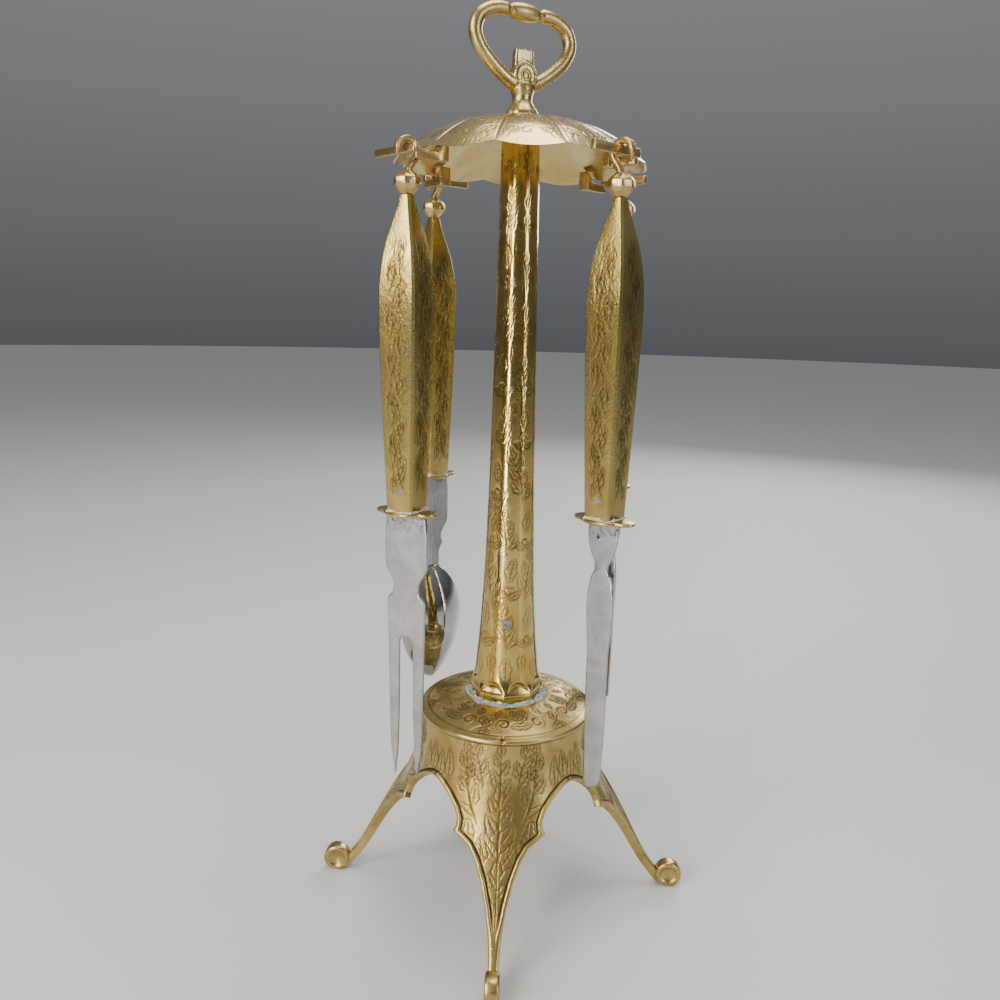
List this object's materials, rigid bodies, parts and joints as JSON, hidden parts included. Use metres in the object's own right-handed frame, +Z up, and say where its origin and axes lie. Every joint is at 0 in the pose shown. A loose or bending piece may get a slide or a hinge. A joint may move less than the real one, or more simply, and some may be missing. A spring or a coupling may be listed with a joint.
{
  "type": "standing caddy with hanging tools",
  "caption": "Brass stand on splayed legs with a lobed canopy, a ring handle that is a bottle opener, and a hanging fork, knife, spoon and spreader.",
  "frame": {"origin": "on the surface that the object stands on, under the middle of the post", "axes": "+Z up along the post, the four legs along +X, +Y, -X and -Y, the fork and the knife towards -Y"},
  "size_m": [0.1784, 0.1784, 0.3986],
  "materials": {
    "aged_brass": "cast and sheet brass, hand engraved, aged to a warm brown in the cuts and rubbed bright on the high parts",
    "pale_brass": "cast brass, plain, lightly tarnished",
    "polished_brass": "drawn brass tube, engraved and polished",
    "brass_plate": "sheet brass, densely engraved, satin, with green salts where the post stands",
    "stainless": "polished stainless sheet, scratched, with rust brown stains under the guard",
    "steel": "plain zinc plated steel fasteners",
    "solder": "dull grey rivet and plug heads"
  },
  "bodies": {
    "stand": {"base_casting": "aged_brass", "base_top_plate": "brass_plate", "post": "polished_brass", "post_plug": "solder", "post_bush": "pale_brass", "tie_rod": "steel", "base_washer": "steel", "base_nut": "steel"},
    "canopy": {"canopy": "aged_brass", "hook_front_left": "pale_brass", "hook_front_right": "pale_brass", "hook_back_right": "pale_brass", "hook_back_left": "pale_brass"},
    "opener": {"opener_handle": "pale_brass"},
    "fork": {"fork_hanger": "pale_brass", "fork_handle": "aged_brass", "fork_guard": "pale_brass", "fork_rivet": "solder", "fork_blade": "stainless"},
    "knife": {"knife_hanger": "pale_brass", "knife_handle": "aged_brass", "knife_guard": "pale_brass", "knife_rivet": "solder", "knife_blade": "stainless"},
    "spreader": {"spreader_hanger": "pale_brass", "spreader_handle": "aged_brass", "spreader_guard": "pale_brass", "spreader_rivet": "solder", "spreader_blade": "stainless"},
    "spoon": {"spoon_hanger": "pale_brass", "spoon_handle": "aged_brass", "spoon_guard": "pale_brass", "spoon_rivet": "solder", "spoon_bowl": "stainless"}
  },
  "joints": [
    {"name": "canopy_turn", "type": "hinge", "parent": "stand", "child": "canopy", "pos_m": [0, 0, 0.34], "axis": [0, 0, 1], "continuous": true},
    {"name": "opener_lift", "type": "slide", "parent": "stand", "child": "opener", "axis": [0, 0, 1], "range_m": [0, 0.03]},
    {"name": "fork_swing", "type": "hinge", "parent": "canopy", "child": "fork", "pos_m": [-0.04158, -0.04158, 0.33785], "axis": [-0.7071, 0.7071, 0], "range_deg": [-2.5, 20]},
    {"name": "knife_swing", "type": "hinge", "parent": "canopy", "child": "knife", "pos_m": [0.04158, -0.04158, 0.33785], "axis": [-0.7071, -0.7071, 0], "range_deg": [-1.8, 20]},
    {"name": "spreader_swing", "type": "hinge", "parent": "canopy", "child": "spreader", "pos_m": [0.04158, 0.04158, 0.33785], "axis": [0.7071, -0.7071, 0], "range_deg": [-2.5, 20]},
    {"name": "spoon_swing", "type": "hinge", "parent": "canopy", "child": "spoon", "pos_m": [-0.04158, 0.04158, 0.33785], "axis": [0.7071, 0.7071, 0], "range_deg": [-2.5, 20]}
  ]
}
